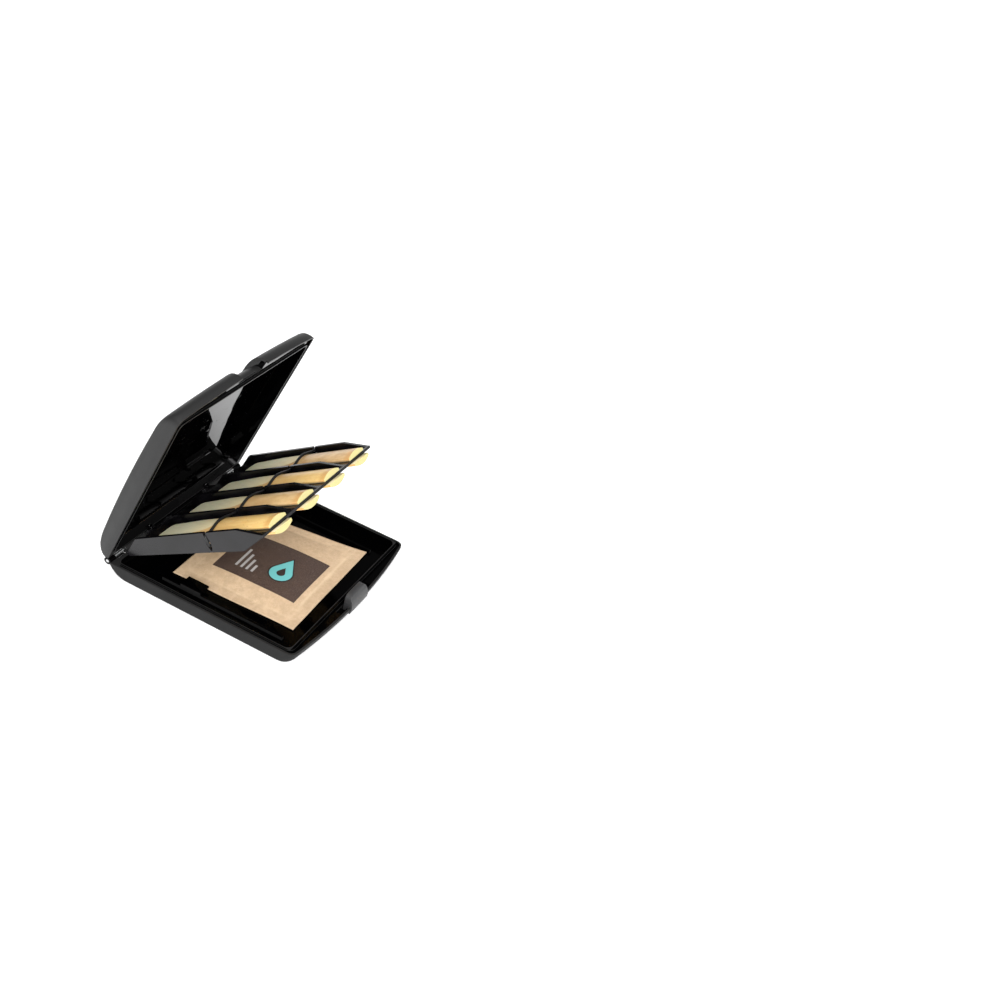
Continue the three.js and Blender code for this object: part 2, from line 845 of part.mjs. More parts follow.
function reedSolid(centre, buttReach, up) {
  const bottom = plateThickness / 2 + seatGap;
  const runs = [0, reedBark];
  const vampSteps = 6;
  for (let i = 1; i < vampSteps; i += 1) {
    runs.push(reedBark + (reedLength - reedBark - reedTipRound) * i / vampSteps);
  }
  runs.push(...reedTipShares.map((share) => reedLength - reedTipRound * (1 - share)));
  const sections = runs.map((run) => reedSection(run).map(([x, height]) => new THREE.Vector3(
    centre + x,
    -(buttReach - run),
    holderRise + up * (bottom + height),
  )));
  return loft(sections);
}

// Humidity pack: a filled pouch with a flat sealed edge, about its own middle

function packSolid() {
  const acrossSteps = 16;
  const alongSteps = 14;
  const swell = (place, length) => {
    const inner = length / 2 - packSeamWidth;
    const share = Math.min(1, Math.abs(place) / inner);
    return Math.sqrt(1 - share ** packCrownPower);
  };
  const sections = [];
  for (let i = 0; i <= acrossSteps; i += 1) {
    const x = packWidth * (i / acrossSteps - 1 / 2);
    const section = [
      new THREE.Vector3(x, -packLength / 2, 0),
      new THREE.Vector3(x, packLength / 2, 0),
    ];
    for (let k = 0; k <= alongSteps; k += 1) {
      const y = packLength * (1 / 2 - k / alongSteps);
      const crown = swell(x, packWidth) * swell(y, packLength);
      section.push(new THREE.Vector3(x, y, packSeam + (packThickness - packSeam) * crown));
    }
    sections.push(section);
  }
  return loft(sections);
}

// Thumb catch: a rounded tab that rocks on two stubs and snaps over a ledge in the lid

function catchSolid() {
  const foot = -trayHeight + catchFoot;
  const span = catchRise - foot;
  const front = sideReach + frontBow + catchBulge;
  const thick = front - catchBackReach;
  const face = catchFaceShares.map(([out, up]) => [catchBackReach + thick * out, foot + span * up]);
  const profile = sidePrism([
    [catchBackReach, foot],
    [catchBackReach, catchRise],
    ...face,
  ], -catchHalf, catchHalf);
  const corners = [];
  const steps = 6;
  const arc = (centreX, centreHeight, quarter) => {
    for (let i = 0; i <= steps; i += 1) {
      const angle = (Math.PI / 2) * (quarter + i / steps);
      corners.push(new THREE.Vector2(
        centreX + catchCorner * Math.cos(angle),
        centreHeight + catchCorner * Math.sin(angle),
      ));
    }
  };
  const topX = catchTopWidth / 2 - catchCorner;
  const footX = catchHalf - catchCorner;
  arc(topX, catchRise - catchCorner, 0);
  arc(-topX, catchRise - catchCorner, 1);
  arc(-footX, foot + catchCorner, 2);
  arc(footX, foot + catchCorner, 3);
  const pad = new THREE.ExtrudeGeometry(new THREE.Shape(corners), {
    depth: thick + 2 * overrun,
    bevelEnabled: false,
  });
  pad.rotateX(Math.PI / 2);
  pad.translate(0, -catchBackReach + overrun, 0);
  const body = profile.intersect(toSolid(pad));
  const stubs = rod(
    -catchHalf - catchStubLength, catchHalf + catchStubLength,
    catchStubRadius, catchPivotReach, -trayHeight + catchPivotHeight, 20,
  );
  const noseHeight = catchLedgeHeight + catchLedgeThickness + swingClearance;
  const nose = box(
    -catchNoseWidth / 2, catchNoseWidth / 2,
    catchBackReach - catchNoseDepth, catchBackReach + swingClearance,
    noseHeight, noseHeight + catchNoseHeight,
  );
  return joined([body, stubs, nose]);
}

function pinSolid() {
  return rod(-half + pinEndInset, half - pinEndInset, pinRadius, 0, 0, 24);
}

// Materials

function plastic(color, roughness) {
  return new THREE.MeshStandardMaterial({ color, roughness, metalness: 0 });
}

const shellGrey = plastic(0x3a3a3c, 0.5);
const holderGrey = plastic(0x4b4b50, 0.55);
const catchGrey = plastic(0x55565a, 0.6);
const elasticBlack = plastic(0x141416, 0.8);
const cane = plastic(0xe3bd7c, 0.6);
const kraft = plastic(0xdcc09c, 0.8);
const pinSteel = new THREE.MeshStandardMaterial({ color: 0xd0d2d4, roughness: 0.25, metalness: 1 });

// Assembly

const reedCase = new THREE.Group();
const hingeLine = new THREE.Group();
hingeLine.position.set(0, restReach, trayHeight);
reedCase.add(hingeLine);

const lidGroup = new THREE.Group();
lidGroup.rotation.x = -THREE.MathUtils.degToRad(lidAngle);
const holderGroup = new THREE.Group();
holderGroup.rotation.x = -THREE.MathUtils.degToRad(holderAngle);
const packGroup = new THREE.Group();
packGroup.position.set(
  packShift,
  -packBackReach - packLength / 2,
  -trayHeight + trayFloor + seatGap,
);
packGroup.rotation.z = THREE.MathUtils.degToRad(packAngle);
hingeLine.add(lidGroup, holderGroup, packGroup);

function place(group, name, solid, material) {
  const mesh = new THREE.Mesh(fromSolid(solid), material);
  mesh.name = name;
  group.add(mesh);
}

place(hingeLine, 'tray_shell', traySolid(), shellGrey);
place(hingeLine, 'hinge_pin', pinSolid(), pinSteel);
place(hingeLine, 'thumb_catch', catchSolid(), catchGrey);
place(packGroup, 'humidity_pack', packSolid(), kraft);
place(lidGroup, 'lid_shell', lidSolid(), shellGrey);
place(holderGroup, 'reed_holder', holderSolid(), holderGrey);
place(holderGroup, 'elastic_cord', cordSolid(), elasticBlack);

for (let channel = 0; channel < channels; channel += 1) {
  const centre = (channel - (channels - 1) / 2) * pitch;
  const upper = reedSolid(centre, holderFront - topReedInset, 1);
  const lower = reedSolid(centre, holderFront + lowerReedOverhang, -1);
  place(holderGroup, `upper_reed_${channel + 1}`, upper, cane);
  place(holderGroup, `lower_reed_${channel + 1}`, lower, cane);
}

export default reedCase;
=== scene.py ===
"""Looks of the hinged reed case: shells, holder, hinge pin and catch get their plastics and
metal, the reeds, the elastic cord and the humidity pack are modelled again in full detail, and
four small webs close the gaps round the hinge pin."""

import json
import math

import bpy
import numpy as np
from mathutils import Matrix, Vector


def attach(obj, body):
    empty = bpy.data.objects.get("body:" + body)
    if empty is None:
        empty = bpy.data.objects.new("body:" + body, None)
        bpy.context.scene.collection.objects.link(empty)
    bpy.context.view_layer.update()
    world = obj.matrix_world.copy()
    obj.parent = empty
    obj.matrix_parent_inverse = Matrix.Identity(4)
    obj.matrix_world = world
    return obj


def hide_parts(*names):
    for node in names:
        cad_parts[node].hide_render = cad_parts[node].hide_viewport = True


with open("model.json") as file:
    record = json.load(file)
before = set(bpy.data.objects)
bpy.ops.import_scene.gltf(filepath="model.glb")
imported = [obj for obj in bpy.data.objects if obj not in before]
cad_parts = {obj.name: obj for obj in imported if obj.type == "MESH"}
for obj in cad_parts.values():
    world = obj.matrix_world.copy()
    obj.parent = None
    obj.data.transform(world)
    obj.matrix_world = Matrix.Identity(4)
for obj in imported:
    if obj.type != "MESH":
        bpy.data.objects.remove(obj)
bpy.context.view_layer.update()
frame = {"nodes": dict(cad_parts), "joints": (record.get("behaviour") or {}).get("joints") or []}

MM = 0.001

# All sizes below are in millimetres and all angles in degrees. A reach is a distance in front of
# the hinge line.
joints = {joint["name"]: joint for joint in frame["joints"]}
HINGE = Vector(joints["lid_hinge"]["pos_m"]) / MM
LID_ANGLE = -joints["lid_hinge"]["range_deg"][0]
HOLDER_ANGLE = -joints["holder_hinge"]["range_deg"][0]

# Case
HALF_WIDTH = 47.5
SIDE_REACH = 97.9
FRONT_BOW = 4.0
FRONT_CORNER = 3.0
TRAY_INSIDE_HALF = 45.1
TRAY_INSIDE_FRONT = 94.6
SKIN = 0.5
CHANNEL_DEPTH = 1.3
SHINY_LIP = 0.4

# Angle between faces above which an edge stays sharp
SHARP_EDGE = 32.0

# Webs round the hinge pin: they close what would show between the barrels and the walls
WEB_OUTSIDE = 2.06
PIN_WEB_INSIDE = 1.75
PIN_WEB_SPAN = (37.1, 43.5)
PIN_WEB_ANGLES = (-70.0, -112.0)
ARM_WEB_INSIDE = 1.86
ARM_WEB_SPAN = (18.7, 22.5)
ARM_WEB_ANGLES = (72.0, 50.0)

# Reeds
REED_LENGTH = 67.5
REED_BUTT_WIDTH = 11.8
REED_TIP_WIDTH = 13.0
REED_THICKNESS = 2.7
REED_EDGE = 1.1
REED_TIP_THICKNESS = 0.25
REED_BARK = 32.6
REED_TIP_ROUND = 2.2
REED_TIP_SHARE = 0.72
VAMP_FALL_POWER = 0.9
VAMP_FLANK_SHARE = 0.6
VAMP_CROWN_SHARE = 0.72
UNCUT = 9.0

# Reed holder
HOLDER_RISE = 2.8
HOLDER_HALF_WIDTH = 41.95
REED_PITCH = 20.6
REED_SEAT = 0.8
UPPER_BUTT_REACH = 90.0
LOWER_BUTT_REACH = 92.0

# Elastic cord
CORD_RADIUS = 0.62
CORD_REACH = 58.8
CORD_SLIT_HEIGHT = 2.4
CORD_CROWN = 4.2
CORD_TURN = 0.7
CORD_TURN_X = HOLDER_HALF_WIDTH - CORD_TURN
YARN_PITCH = 0.9
YARNS_AROUND = 3

# Humidity pack
PACK_WIDTH = 66.0
PACK_LENGTH = 64.0
PACK_THICKNESS = 3.0
PACK_HEADROOM = 0.35
PACK_SEAM = 0.5
PACK_SEAM_WIDTH = 5.0
PACK_CENTRE = Vector((2.0, -5.05, 1.7))
PACK_ANGLE = 1.5
PACK_EDGE_PULL = 0.35
PACK_DRAWN_IN = 5.6
PACK_DRAWN_RUN = 45.0
PACK_CROWN_POWER = 2.4
PACK_LUMP = 0.22
PACK_DENT = 0.07
PACK_PUCKER = 0.16
PACK_WAVE = 0.16
PACK_FOLD_CENTRE = (3.0, -26.0)
PACK_FOLD_HALF = 24.0
PACK_FOLD_FADE = 4.0
PACK_FOLD_WIDTH = 0.45
PACK_STEPS = 132

# The pack's print, about the pack's middle
PANEL_CENTRE = (-2.6, -1.2)
PANEL_SIZE = (32.4, 43.9)
DROP_CENTRE = (-6.0, -8.2)
DROP_SIZE = (5.4, 11.5)
DROP_EYE_SIZE = (2.0, 4.4)
DROP_OUTLINE = 0.7
DROP_POINT_GROWTH = 1.6
BAR_COUNT = 4
BAR_START = (-13.0, 3.4)
BAR_LENGTH = 5.0
BAR_GROWTH = 3.0
BAR_PITCH = 2.8
BAR_WIDTH = 1.25

# Studio, in metres
FLOOR_SIZE = 9.0
FLOOR_STEPS = 12
FLOOR_DROP = 0.0002


# Node materials

class Shader:
    """One node material. Each method adds a node and returns the socket that comes out of it."""

    def __init__(self, name):
        self.material = bpy.data.materials.new(name)
        self.material.use_nodes = True
        self.tree = self.material.node_tree
        self.surface = self.tree.nodes["Principled BSDF"]

    def node(self, kind, **settings):
        made = self.tree.nodes.new(kind)
        for key, value in settings.items():
            setattr(made, key, value)
        return made

    def feed(self, socket, value):
        if isinstance(value, bpy.types.NodeSocket):
            self.tree.links.new(value, socket)
        elif hasattr(socket.default_value, "__len__") and len(socket.default_value) == 4:
            socket.default_value = (*value, 1.0)
        else:
            socket.default_value = value

    def set(self, **values):
        for name, value in values.items():
            self.feed(self.surface.inputs[name.replace("_", " ")], value)

    def place(self):
        """The surface's place in the piece's own frame, in millimetres."""
        coordinates = self.node("ShaderNodeTexCoord")
        return self.scaled(coordinates.outputs["Object"], (1 / MM,) * 3)

    def scaled(self, vector, factors):
        made = self.node("ShaderNodeVectorMath", operation="MULTIPLY")
        self.feed(made.inputs[0], vector)
        self.feed(made.inputs[1], factors)
        return made.outputs["Vector"]

    def moved(self, vector, offset):
        made = self.node("ShaderNodeVectorMath", operation="ADD")
        self.feed(made.inputs[0], vector)
        self.feed(made.inputs[1], offset)
        return made.outputs["Vector"]

    def turned(self, vector, degrees):
        made = self.node("ShaderNodeVectorRotate", rotation_type="X_AXIS")
        self.feed(made.inputs["Vector"], vector)
        made.inputs["Angle"].default_value = math.radians(degrees)
        return made.outputs["Vector"]

    def facing(self, place, middle, turned=0.0):
        """1 on the faces that look towards a place inside the piece, given in its own frame."""
        coordinates = self.node("ShaderNodeTexCoord")
        normal = self.turned(coordinates.outputs["Normal"], turned)
        towards = self.moved(self.scaled(place, (-1.0, -1.0, -1.0)), middle)
        made = self.node("ShaderNodeVectorMath", operation="DOT_PRODUCT")
        self.feed(made.inputs[0], normal)
        self.feed(made.inputs[1], towards)
        return self.above(made.outputs["Value"], 0.0, 0.01)

    def parts(self, vector):
        made = self.node("ShaderNodeSeparateXYZ")
        self.feed(made.inputs[0], vector)
        return made.outputs["X"], made.outputs["Y"], made.outputs["Z"]

    def math(self, operation, first, second=0.0):
        made = self.node("ShaderNodeMath", operation=operation)
        self.feed(made.inputs[0], first)
        self.feed(made.inputs[1], second)
        return made.outputs[0]

    def all_of(self, *masks):
        whole = masks[0]
        for mask in masks[1:]:
            whole = self.math("MULTIPLY", whole, mask)
        return whole

    def any_of(self, *masks):
        whole = masks[0]
        for mask in masks[1:]:
            whole = self.math("MAXIMUM", whole, mask)
        return whole

    def below(self, value, limit, soft=0.05):
        """1 where the value is below the limit, with a soft edge of that width."""
        return self.ramp(value, limit - soft / 2, limit + soft / 2, 1.0, 0.0)

    def above(self, value, limit, soft=0.05):
        return self.ramp(value, limit - soft / 2, limit + soft / 2, 0.0, 1.0)

    def ramp(self, value, low, high, to_low=0.0, to_high=1.0):
        made = self.node("ShaderNodeMapRange", interpolation_type="SMOOTHSTEP")
        self.feed(made.inputs["Value"], value)
        limits = (("From Min", low), ("From Max", high), ("To Min", to_low), ("To Max", to_high))
        for name, number in limits:
            self.feed(made.inputs[name], number)
        return made.outputs["Result"]

    def noise(self, vector, scale, detail=3.0, roughness=0.55, distortion=0.0):
        made = self.node("ShaderNodeTexNoise")
        self.feed(made.inputs["Vector"], vector)
        made.inputs["Scale"].default_value = scale
        made.inputs["Detail"].default_value = detail
        made.inputs["Roughness"].default_value = roughness
        made.inputs["Distortion"].default_value = distortion
        return made.outputs["Fac"]

    def mix(self, share, first, second):
        made = self.node("ShaderNodeMix", data_type="RGBA")
        self.feed(made.inputs["Factor"], share)
        colours = [socket for socket in made.inputs if socket.type == "RGBA"]
        self.feed(colours[0], first)
        self.feed(colours[1], second)
        return next(socket for socket in made.outputs if socket.type == "RGBA")

    def attribute(self, name):
        return self.node("ShaderNodeAttribute", attribute_name=name).outputs["Fac"]

    def bump(self, height, depth, normal=None):
        """A relief of that depth in millimetres."""
        made = self.node("ShaderNodeBump")
        self.feed(made.inputs["Height"], height)
        made.inputs["Distance"].default_value = depth * MM
        if normal is not None:
            self.feed(made.inputs["Normal"], normal)
        return made.outputs["Normal"]

    def soft_edges(self, radius):
        made = self.node("ShaderNodeBevel", samples=6)
        made.inputs["Radius"].default_value = radius * MM
        return made.outputs["Normal"]


def shell_material(name, inside, shade, gloss, sheen):
    """Moulded plastic: fine matte grain outside, polished where the inside mask is 1."""
    shader = Shader(name)
    place = shader.place()
    mask = inside(shader, place)
    cloud = shader.noise(place, 0.06)
    smear = shader.noise(shader.scaled(place, (0.25, 0.6, 0.25)), 0.35, detail=5.0)
    grain = shader.noise(place, 5.0, detail=2.0)
    wave = shader.noise(place, 0.045, detail=1.0)
    marks = shader.noise(shader.scaled(place, (0.05, 0.11, 0.11)), 1.0, detail=6.0, distortion=1.8)
    outer = shader.mix(cloud, (shade * 0.86,) * 3, (shade * 1.14,) * 3)
    colour = shader.mix(mask, outer, (0.0004, 0.0004, 0.0005))
    matte = shader.ramp(smear, 0.3, 0.7, 0.43, 0.48)
    polished = shader.ramp(smear, 0.35, 0.75, *gloss)
    finger_marks = shader.ramp(marks, 0.60, 0.70, 0.0, 0.22)
    polished = shader.math("ADD", polished, finger_marks)
    step = shader.math("MULTIPLY", mask, shader.math("SUBTRACT", polished, matte))
    relief = shader.math("MULTIPLY", grain, shader.math("SUBTRACT", 1.0, mask))
    waved = shader.bump(wave, 0.10, normal=shader.soft_edges(0.25))
    shader.set(
        Base_Color=colour,
        Roughness=shader.math("ADD", matte, step),
        Normal=shader.bump(relief, 0.012, normal=waved),
    )
    shader.surface.inputs["Specular IOR Level"].default_value = sheen
    return shader.material


def off_skin(shader, x, y):
    """1 where a place lies more than the skin in from the case's sides and bowed front."""
    off_side = shader.math("ABSOLUTE", x)
    flat = shader.math("MULTIPLY", shader.math("MULTIPLY", x, x), -FRONT_BOW / HALF_WIDTH ** 2)
    past = shader.math("MAXIMUM", shader.math("SUBTRACT", off_side, HALF_WIDTH - FRONT_CORNER), 0.0)
    left = shader.math("SUBTRACT", FRONT_CORNER ** 2, shader.math("MULTIPLY", past, past))
    round_off = shader.math("SQRT", shader.math("MAXIMUM", left, 0.0))
    corner_start = SIDE_REACH + FRONT_BOW - FRONT_CORNER
    front = shader.math("ADD", flat, shader.math("ADD", round_off, corner_start))
    return shader.all_of(
        shader.below(off_side, HALF_WIDTH - SKIN),
        shader.above(shader.math("ADD", front, y), SKIN),
    )


def tray_inside(shader, place):
    """The tray's polished faces: its hollow, the channel round the rim and the lip's outer part."""
    x, y, z = shader.parts(shader.moved(place, (0.0, -HINGE.y, -HINGE.z)))
    hollow = shader.facing(place, (0.0, 0.0, HINGE.z - 1.0))
    below_rim = shader.all_of(shader.above(z, -CHANNEL_DEPTH), shader.below(z, -0.2))
    channel = shader.all_of(off_skin(shader, x, y), below_rim)
    edge = shader.all_of(
        shader.below(shader.math("ABSOLUTE", x), TRAY_INSIDE_HALF + SHINY_LIP),
        shader.above(y, -TRAY_INSIDE_FRONT - SHINY_LIP),
    )
    lip = shader.all_of(shader.above(z, 0.1), shader.math("SUBTRACT", 1.0, edge))
    return shader.any_of(hollow, channel, lip)


def lid_inside(shader, place):
    """The lid's polished faces: its hollow and the channel round the rim, but not the rim's lands."""
    shut = shader.turned(shader.moved(place, tuple(-HINGE)), LID_ANGLE)
    x, y, height = shader.parts(shut)
    hollow = shader.facing(shut, (0.0, -SIDE_REACH / 2, 0.5), LID_ANGLE)
    channel = shader.all_of(off_skin(shader, x, y), shader.below(height, CHANNEL_DEPTH))
    land = shader.below(height, 0.2)
    return shader.all_of(shader.any_of(hollow, channel), shader.math("SUBTRACT", 1.0, land))


def holder_material():
    """Satin black plastic, a little uneven from the mould."""
    shader = Shader("holder_plastic")
    place = shader.place()
    smear = shader.noise(shader.scaled(place, (0.5, 0.16, 0.16)), 0.6, detail=4.0)
    wave = shader.noise(place, 0.07, detail=1.0)
    shade = shader.ramp(smear, 0.35, 0.65)
    colour = shader.mix(shade, (0.0015, 0.0014, 0.0018), (0.0055, 0.005, 0.0062))
    normal = shader.bump(wave, 0.12, normal=shader.soft_edges(0.2))
    shader.set(Base_Color=colour, Roughness=shader.ramp(smear, 0.3, 0.7, 0.16, 0.26), Normal=normal)
    shader.surface.inputs["Specular IOR Level"].default_value = 0.35
    return shader.material


def catch_material():
    """Mid grey plastic with a fine grain."""
    shader = Shader("catch_plastic")
    place = shader.place()
    grain = shader.noise(place, 4.0, detail=2.0)
    cloud = shader.noise(place, 0.2)
    colour = shader.mix(cloud, (0.019, 0.019, 0.020), (0.025, 0.025, 0.026))
    normal = shader.bump(grain, 0.02, normal=shader.soft_edges(0.25))
    shader.set(Base_Color=colour, Roughness=shader.ramp(cloud, 0.3, 0.7, 0.46, 0.56), Normal=normal)
    return shader.material


def pin_material():
    """Bright drawn steel at the ends, with painted shade making it near black inside the knuckles."""
    shader = Shader("drawn_steel")
    place = shader.place()
    lines = shader.noise(shader.scaled(place, (0.4, 8.0, 8.0)), 1.5, detail=4.0)
    bright = shader.mix(lines, (0.50, 0.51, 0.52), (0.66, 0.66, 0.66))
    off_middle = shader.math("ABSOLUTE", shader.parts(place)[0])
    # Painted shade: the pin is near black where it lies inside the knuckles.
    colour = shader.mix(shader.above(off_middle, 30.0, 4.0), (0.012, 0.012, 0.012), bright)
    shader.set(
        Base_Color=colour, Metallic=1.0,
        Roughness=shader.ramp(lines, 0.3, 0.7, 0.10, 0.20), Normal=shader.bump(lines, 0.004),
    )
    return shader.material


def reed_material():
    """Cane: polished bark with flecks and painted shade, and pale fibres where the bark is cut away."""
    shader = Shader("cane")
    place = shader.place()
    seed = shader.attribute("cane_seed")
    shift = shader.node("ShaderNodeCombineXYZ")
    shader.feed(shift.inputs["X"], shader.math("MULTIPLY", seed, 37.0))
    shader.feed(shift.inputs["Y"], shader.math("MULTIPLY", seed, 91.0))
    spot = shader.moved(place, shift.outputs[0])
    run = shader.parts(place)[1]
    fibre = shader.noise(shader.scaled(spot, (5.0, 0.12, 5.0)), 1.0, detail=5.0, roughness=0.6)
    streak = shader.noise(shader.scaled(spot, (0.9, 0.045, 0.9)), 1.0, detail=3.0)
    blotch = shader.noise(shader.scaled(spot, (0.35, 0.16, 0.35)), 1.0, detail=4.0)
    fleck = shader.noise(shader.scaled(spot, (2.2, 0.7, 2.2)), 1.0, detail=2.0)
    depth = shader.attribute("bark_depth")
    fray = shader.math("MULTIPLY", shader.math("SUBTRACT", fibre, 0.5), 0.05)
    ragged = shader.math("ADD", depth, fray)
    bark = shader.ramp(ragged, -0.012, 0.02)
    gold = shader.mix(shader.ramp(blotch, 0.3, 0.7), (0.86, 0.56, 0.19), (0.94, 0.66, 0.26))
    gold = shader.mix(shader.ramp(streak, 0.35, 0.8), gold, (0.84, 0.52, 0.17))
    gold = shader.mix(shader.ramp(fleck, 0.66, 0.74), gold, (0.42, 0.20, 0.07))
    tan = shader.mix(shader.ramp(blotch, 0.3, 0.7), (0.62, 0.39, 0.185), (0.80, 0.56, 0.30))
    warm = shader.mix(seed, gold, tan)
    # Painted shade: the bark grows darker towards the cut, nearer the hinge.
    shade = shader.ramp(run, 12.0, REED_BARK, 0.0, 0.45)
    warm = shader.mix(shade, warm, (0.56, 0.33, 0.14))
    cream = shader.mix(shader.ramp(fibre, 0.25, 0.75), (0.80, 0.66, 0.36), (0.90, 0.78, 0.50))
    grey = shader.mix(shader.ramp(fibre, 0.25, 0.75), (0.74, 0.70, 0.45), (0.90, 0.86, 0.60))
    vamp = shader.mix(shader.ramp(run, REED_BARK + 2.0, REED_LENGTH - 12.0), cream, grey)
    butt = shader.attribute("butt_end")
    # Painted shade: a darker orange band at the butt end of the bark stands in for the shade on its
    # chamfer.
    ring = shader.ramp(run, 1.6, 4.2, 0.55, 0.0)
    warm = shader.mix(ring, warm, (0.66, 0.34, 0.10))
    colour = shader.mix(bark, vamp, warm)
    pith = shader.noise(shader.scaled(spot, (6.0, 6.0, 6.0)), 1.0, detail=2.0)
    colour = shader.mix(butt, colour, shader.mix(pith, (0.48, 0.42, 0.18), (0.55, 0.50, 0.225)))
    roughness = shader.math("SUBTRACT", 0.62, shader.math("MULTIPLY", bark, 0.30))
    normal = shader.bump(fibre, 0.03)
    shader.set(Base_Color=colour, Roughness=roughness, Normal=normal)
    shader.surface.inputs["Subsurface Weight"].default_value = 0.15
    shader.surface.inputs["Subsurface Radius"].default_value = (1.0, 0.6, 0.3)
    shader.surface.inputs["Subsurface Scale"].default_value = 0.6 * MM
    return shader.material


def cord_material():
    """Braided elastic: two sets of yarns crossing round the cord."""
    shader = Shader("braided_elastic")
    coordinates = shader.node("ShaderNodeUVMap", uv_map="braid")
    along, around, _ = shader.parts(coordinates.outputs["UV"])
    waves = []
    for hand in (1.0, -1.0):
        turn = shader.math("ADD", along, shader.math("MULTIPLY", around, hand))
        waves.append(shader.math("SINE", shader.math("MULTIPLY", turn, math.tau)))
    yarn = shader.math("MAXIMUM", *waves)
    colour = shader.mix(shader.ramp(yarn, -0.2, 1.0), (0.0015, 0.0015, 0.0015), (0.006, 0.006, 0.0065))
    shader.set(Base_Color=colour, Roughness=0.32, Normal=shader.bump(yarn, 0.02))
    shader.surface.inputs["Specular IOR Level"].default_value = 0.35
    return shader.material


def pack_material():
    """Kraft paper with a printed dark panel that carries a plain drop and a row of bars."""
    shader = Shader("kraft_paper")
    place = shader.place()
    pulp = shader.noise(place, 0.5, detail=6.0, roughness=0.7)
    fibre = shader.noise(shader.scaled(place, (0.9, 3.2, 1.0)), 1.3, detail=4.0, distortion=1.2)
    speck = shader.noise(place, 3.4, detail=1.0)
    dark_mottle = shader.noise(shader.scaled(place, (0.10, 0.16, 0.10)), 1.0, detail=5.0, distortion=1.0)
    crimp = shader.math("MULTIPLY", shader.attribute("seam"), 0.55)
    paper = shader.mix(shader.ramp(pulp, 0.3, 0.7), (0.58, 0.42, 0.265), (0.69, 0.515, 0.345))
    # Darker patches of paper where the noise is low.
    paper = shader.mix(shader.ramp(dark_mottle, 0.40, 0.65, 0.35, 0.0), paper, (0.46, 0.33, 0.21))
    paper = shader.mix(shader.ramp(fibre, 0.58, 0.72), paper, (0.74, 0.58, 0.41))
    paper = shader.mix(shader.ramp(speck, 0.70, 0.76), paper, (0.34, 0.21, 0.12))
    paper = shader.mix(crimp, paper, (0.78, 0.62, 0.42))

    print_map = shader.node("ShaderNodeUVMap", uv_map="print")
    x, y, _ = shader.parts(shader.scaled(print_map.outputs["UV"], (1 / MM, 1 / MM, 0.0)))
    ink_spread = shader.math("SUBTRACT", shader.noise(place, 2.5, detail=3.0), 0.5)
    ragged = shader.math("MULTIPLY", ink_spread, 0.3)
    x = shader.math("ADD", x, ragged)
    y = shader.math("ADD", y, ragged)

    def patch(centre, size):
        off_x = shader.math("ABSOLUTE", shader.math("SUBTRACT", x, centre[0]))
        off_y = shader.math("ABSOLUTE", shader.math("SUBTRACT", y, centre[1]))
        return shader.all_of(
            shader.below(off_x, size[0] / 2, soft=0.15),
            shader.below(off_y, size[1] / 2, soft=0.15),
        )

    def drop(radius, reach, grow=0.0):
        """A drop with a round end of that radius and a point at that reach towards +X. Grow
        widens it all round, and more at its point."""
        along = shader.math("SUBTRACT", x, DROP_CENTRE[0])
        across = shader.math("ABSOLUTE", shader.math("SUBTRACT", y, DROP_CENTRE[1]))
        squares = shader.math(
            "ADD", shader.math("POWER", along, 2.0), shader.math("POWER", across, 2.0))
        round_end = shader.below(shader.math("SQRT", squares), radius + grow, soft=0.12)
        slope = radius / math.sqrt(reach ** 2 - radius ** 2)
        to_point = shader.math("SUBTRACT", reach + grow * DROP_POINT_GROWTH, along)
        side = shader.math("MULTIPLY", to_point, slope)
        point = shader.all_of(
            shader.above(shader.math("SUBTRACT", side, across), 0.0, soft=0.12),
            shader.above(along, radius ** 2 / reach, soft=0.12),
        )
        return shader.any_of(round_end, point)

    def bar(number):
        length = BAR_LENGTH + BAR_GROWTH * number
        centre = (BAR_START[0] + length / 2, BAR_START[1] + BAR_PITCH * number)
        return patch(centre, (length, BAR_WIDTH))

    printed = shader.mix(shader.ramp(speck, 0.35, 0.75), (0.050, 0.029, 0.024), (0.105, 0.072, 0.060))
    printed = shader.mix(shader.ramp(pulp, 0.55, 0.8), printed, (0.13, 0.095, 0.08))
    printed = shader.mix(drop(*DROP_SIZE, DROP_OUTLINE), printed, (0.018, 0.012, 0.012))
    printed = shader.mix(drop(*DROP_SIZE), printed, (0.150, 0.525, 0.545))
    printed = shader.mix(drop(*DROP_EYE_SIZE), printed, (0.030, 0.020, 0.019))
    bars = shader.any_of(*[bar(number) for number in range(BAR_COUNT)])
    printed = shader.mix(bars, printed, (0.46, 0.45, 0.46))

    panel = patch(PANEL_CENTRE, PANEL_SIZE)
    roughness = shader.math("SUBTRACT", 0.74, shader.math("MULTIPLY", panel, 0.18))
    relief = shader.math("ADD", pulp, shader.math("MULTIPLY", fibre, 0.6))
    shader.set(
        Base_Color=shader.mix(panel, paper, printed), Roughness=roughness,
        Normal=shader.bump(relief, 0.05),
    )
    return shader.material


def floor_material():
    """White paper, with a faint glow of its own that evens out its light."""
    shader = Shader("studio_paper")
    place = shader.place()
    tooth = shader.noise(place, 0.8, detail=2.0)
    shader.set(
        Base_Color=shader.mix(tooth, (0.88, 0.88, 0.885), (0.90, 0.90, 0.90)),
        Roughness=0.85, Normal=shader.bump(tooth, 0.01),
    )
    shader.surface.inputs["Emission Color"].default_value = (1.0, 1.0, 1.0, 1.0)
    shader.surface.inputs["Emission Strength"].default_value = 0.32
    return shader.material


# Meshes

def mesh_object(name, points, faces, material):
    mesh = bpy.data.meshes.new(name)
    mesh.from_pydata([tuple(p) for p in points], [], faces)
    mesh.validate()
    mesh.materials.append(material)
    mesh.shade_smooth()
    made = bpy.data.objects.new(name, mesh)
    bpy.context.scene.collection.objects.link(made)
    return made


def point_attribute(piece, name, values):
    attribute = piece.data.attributes.new(name, "FLOAT", "POINT")
    attribute.data.foreach_set("value", np.asarray(values, np.float32))


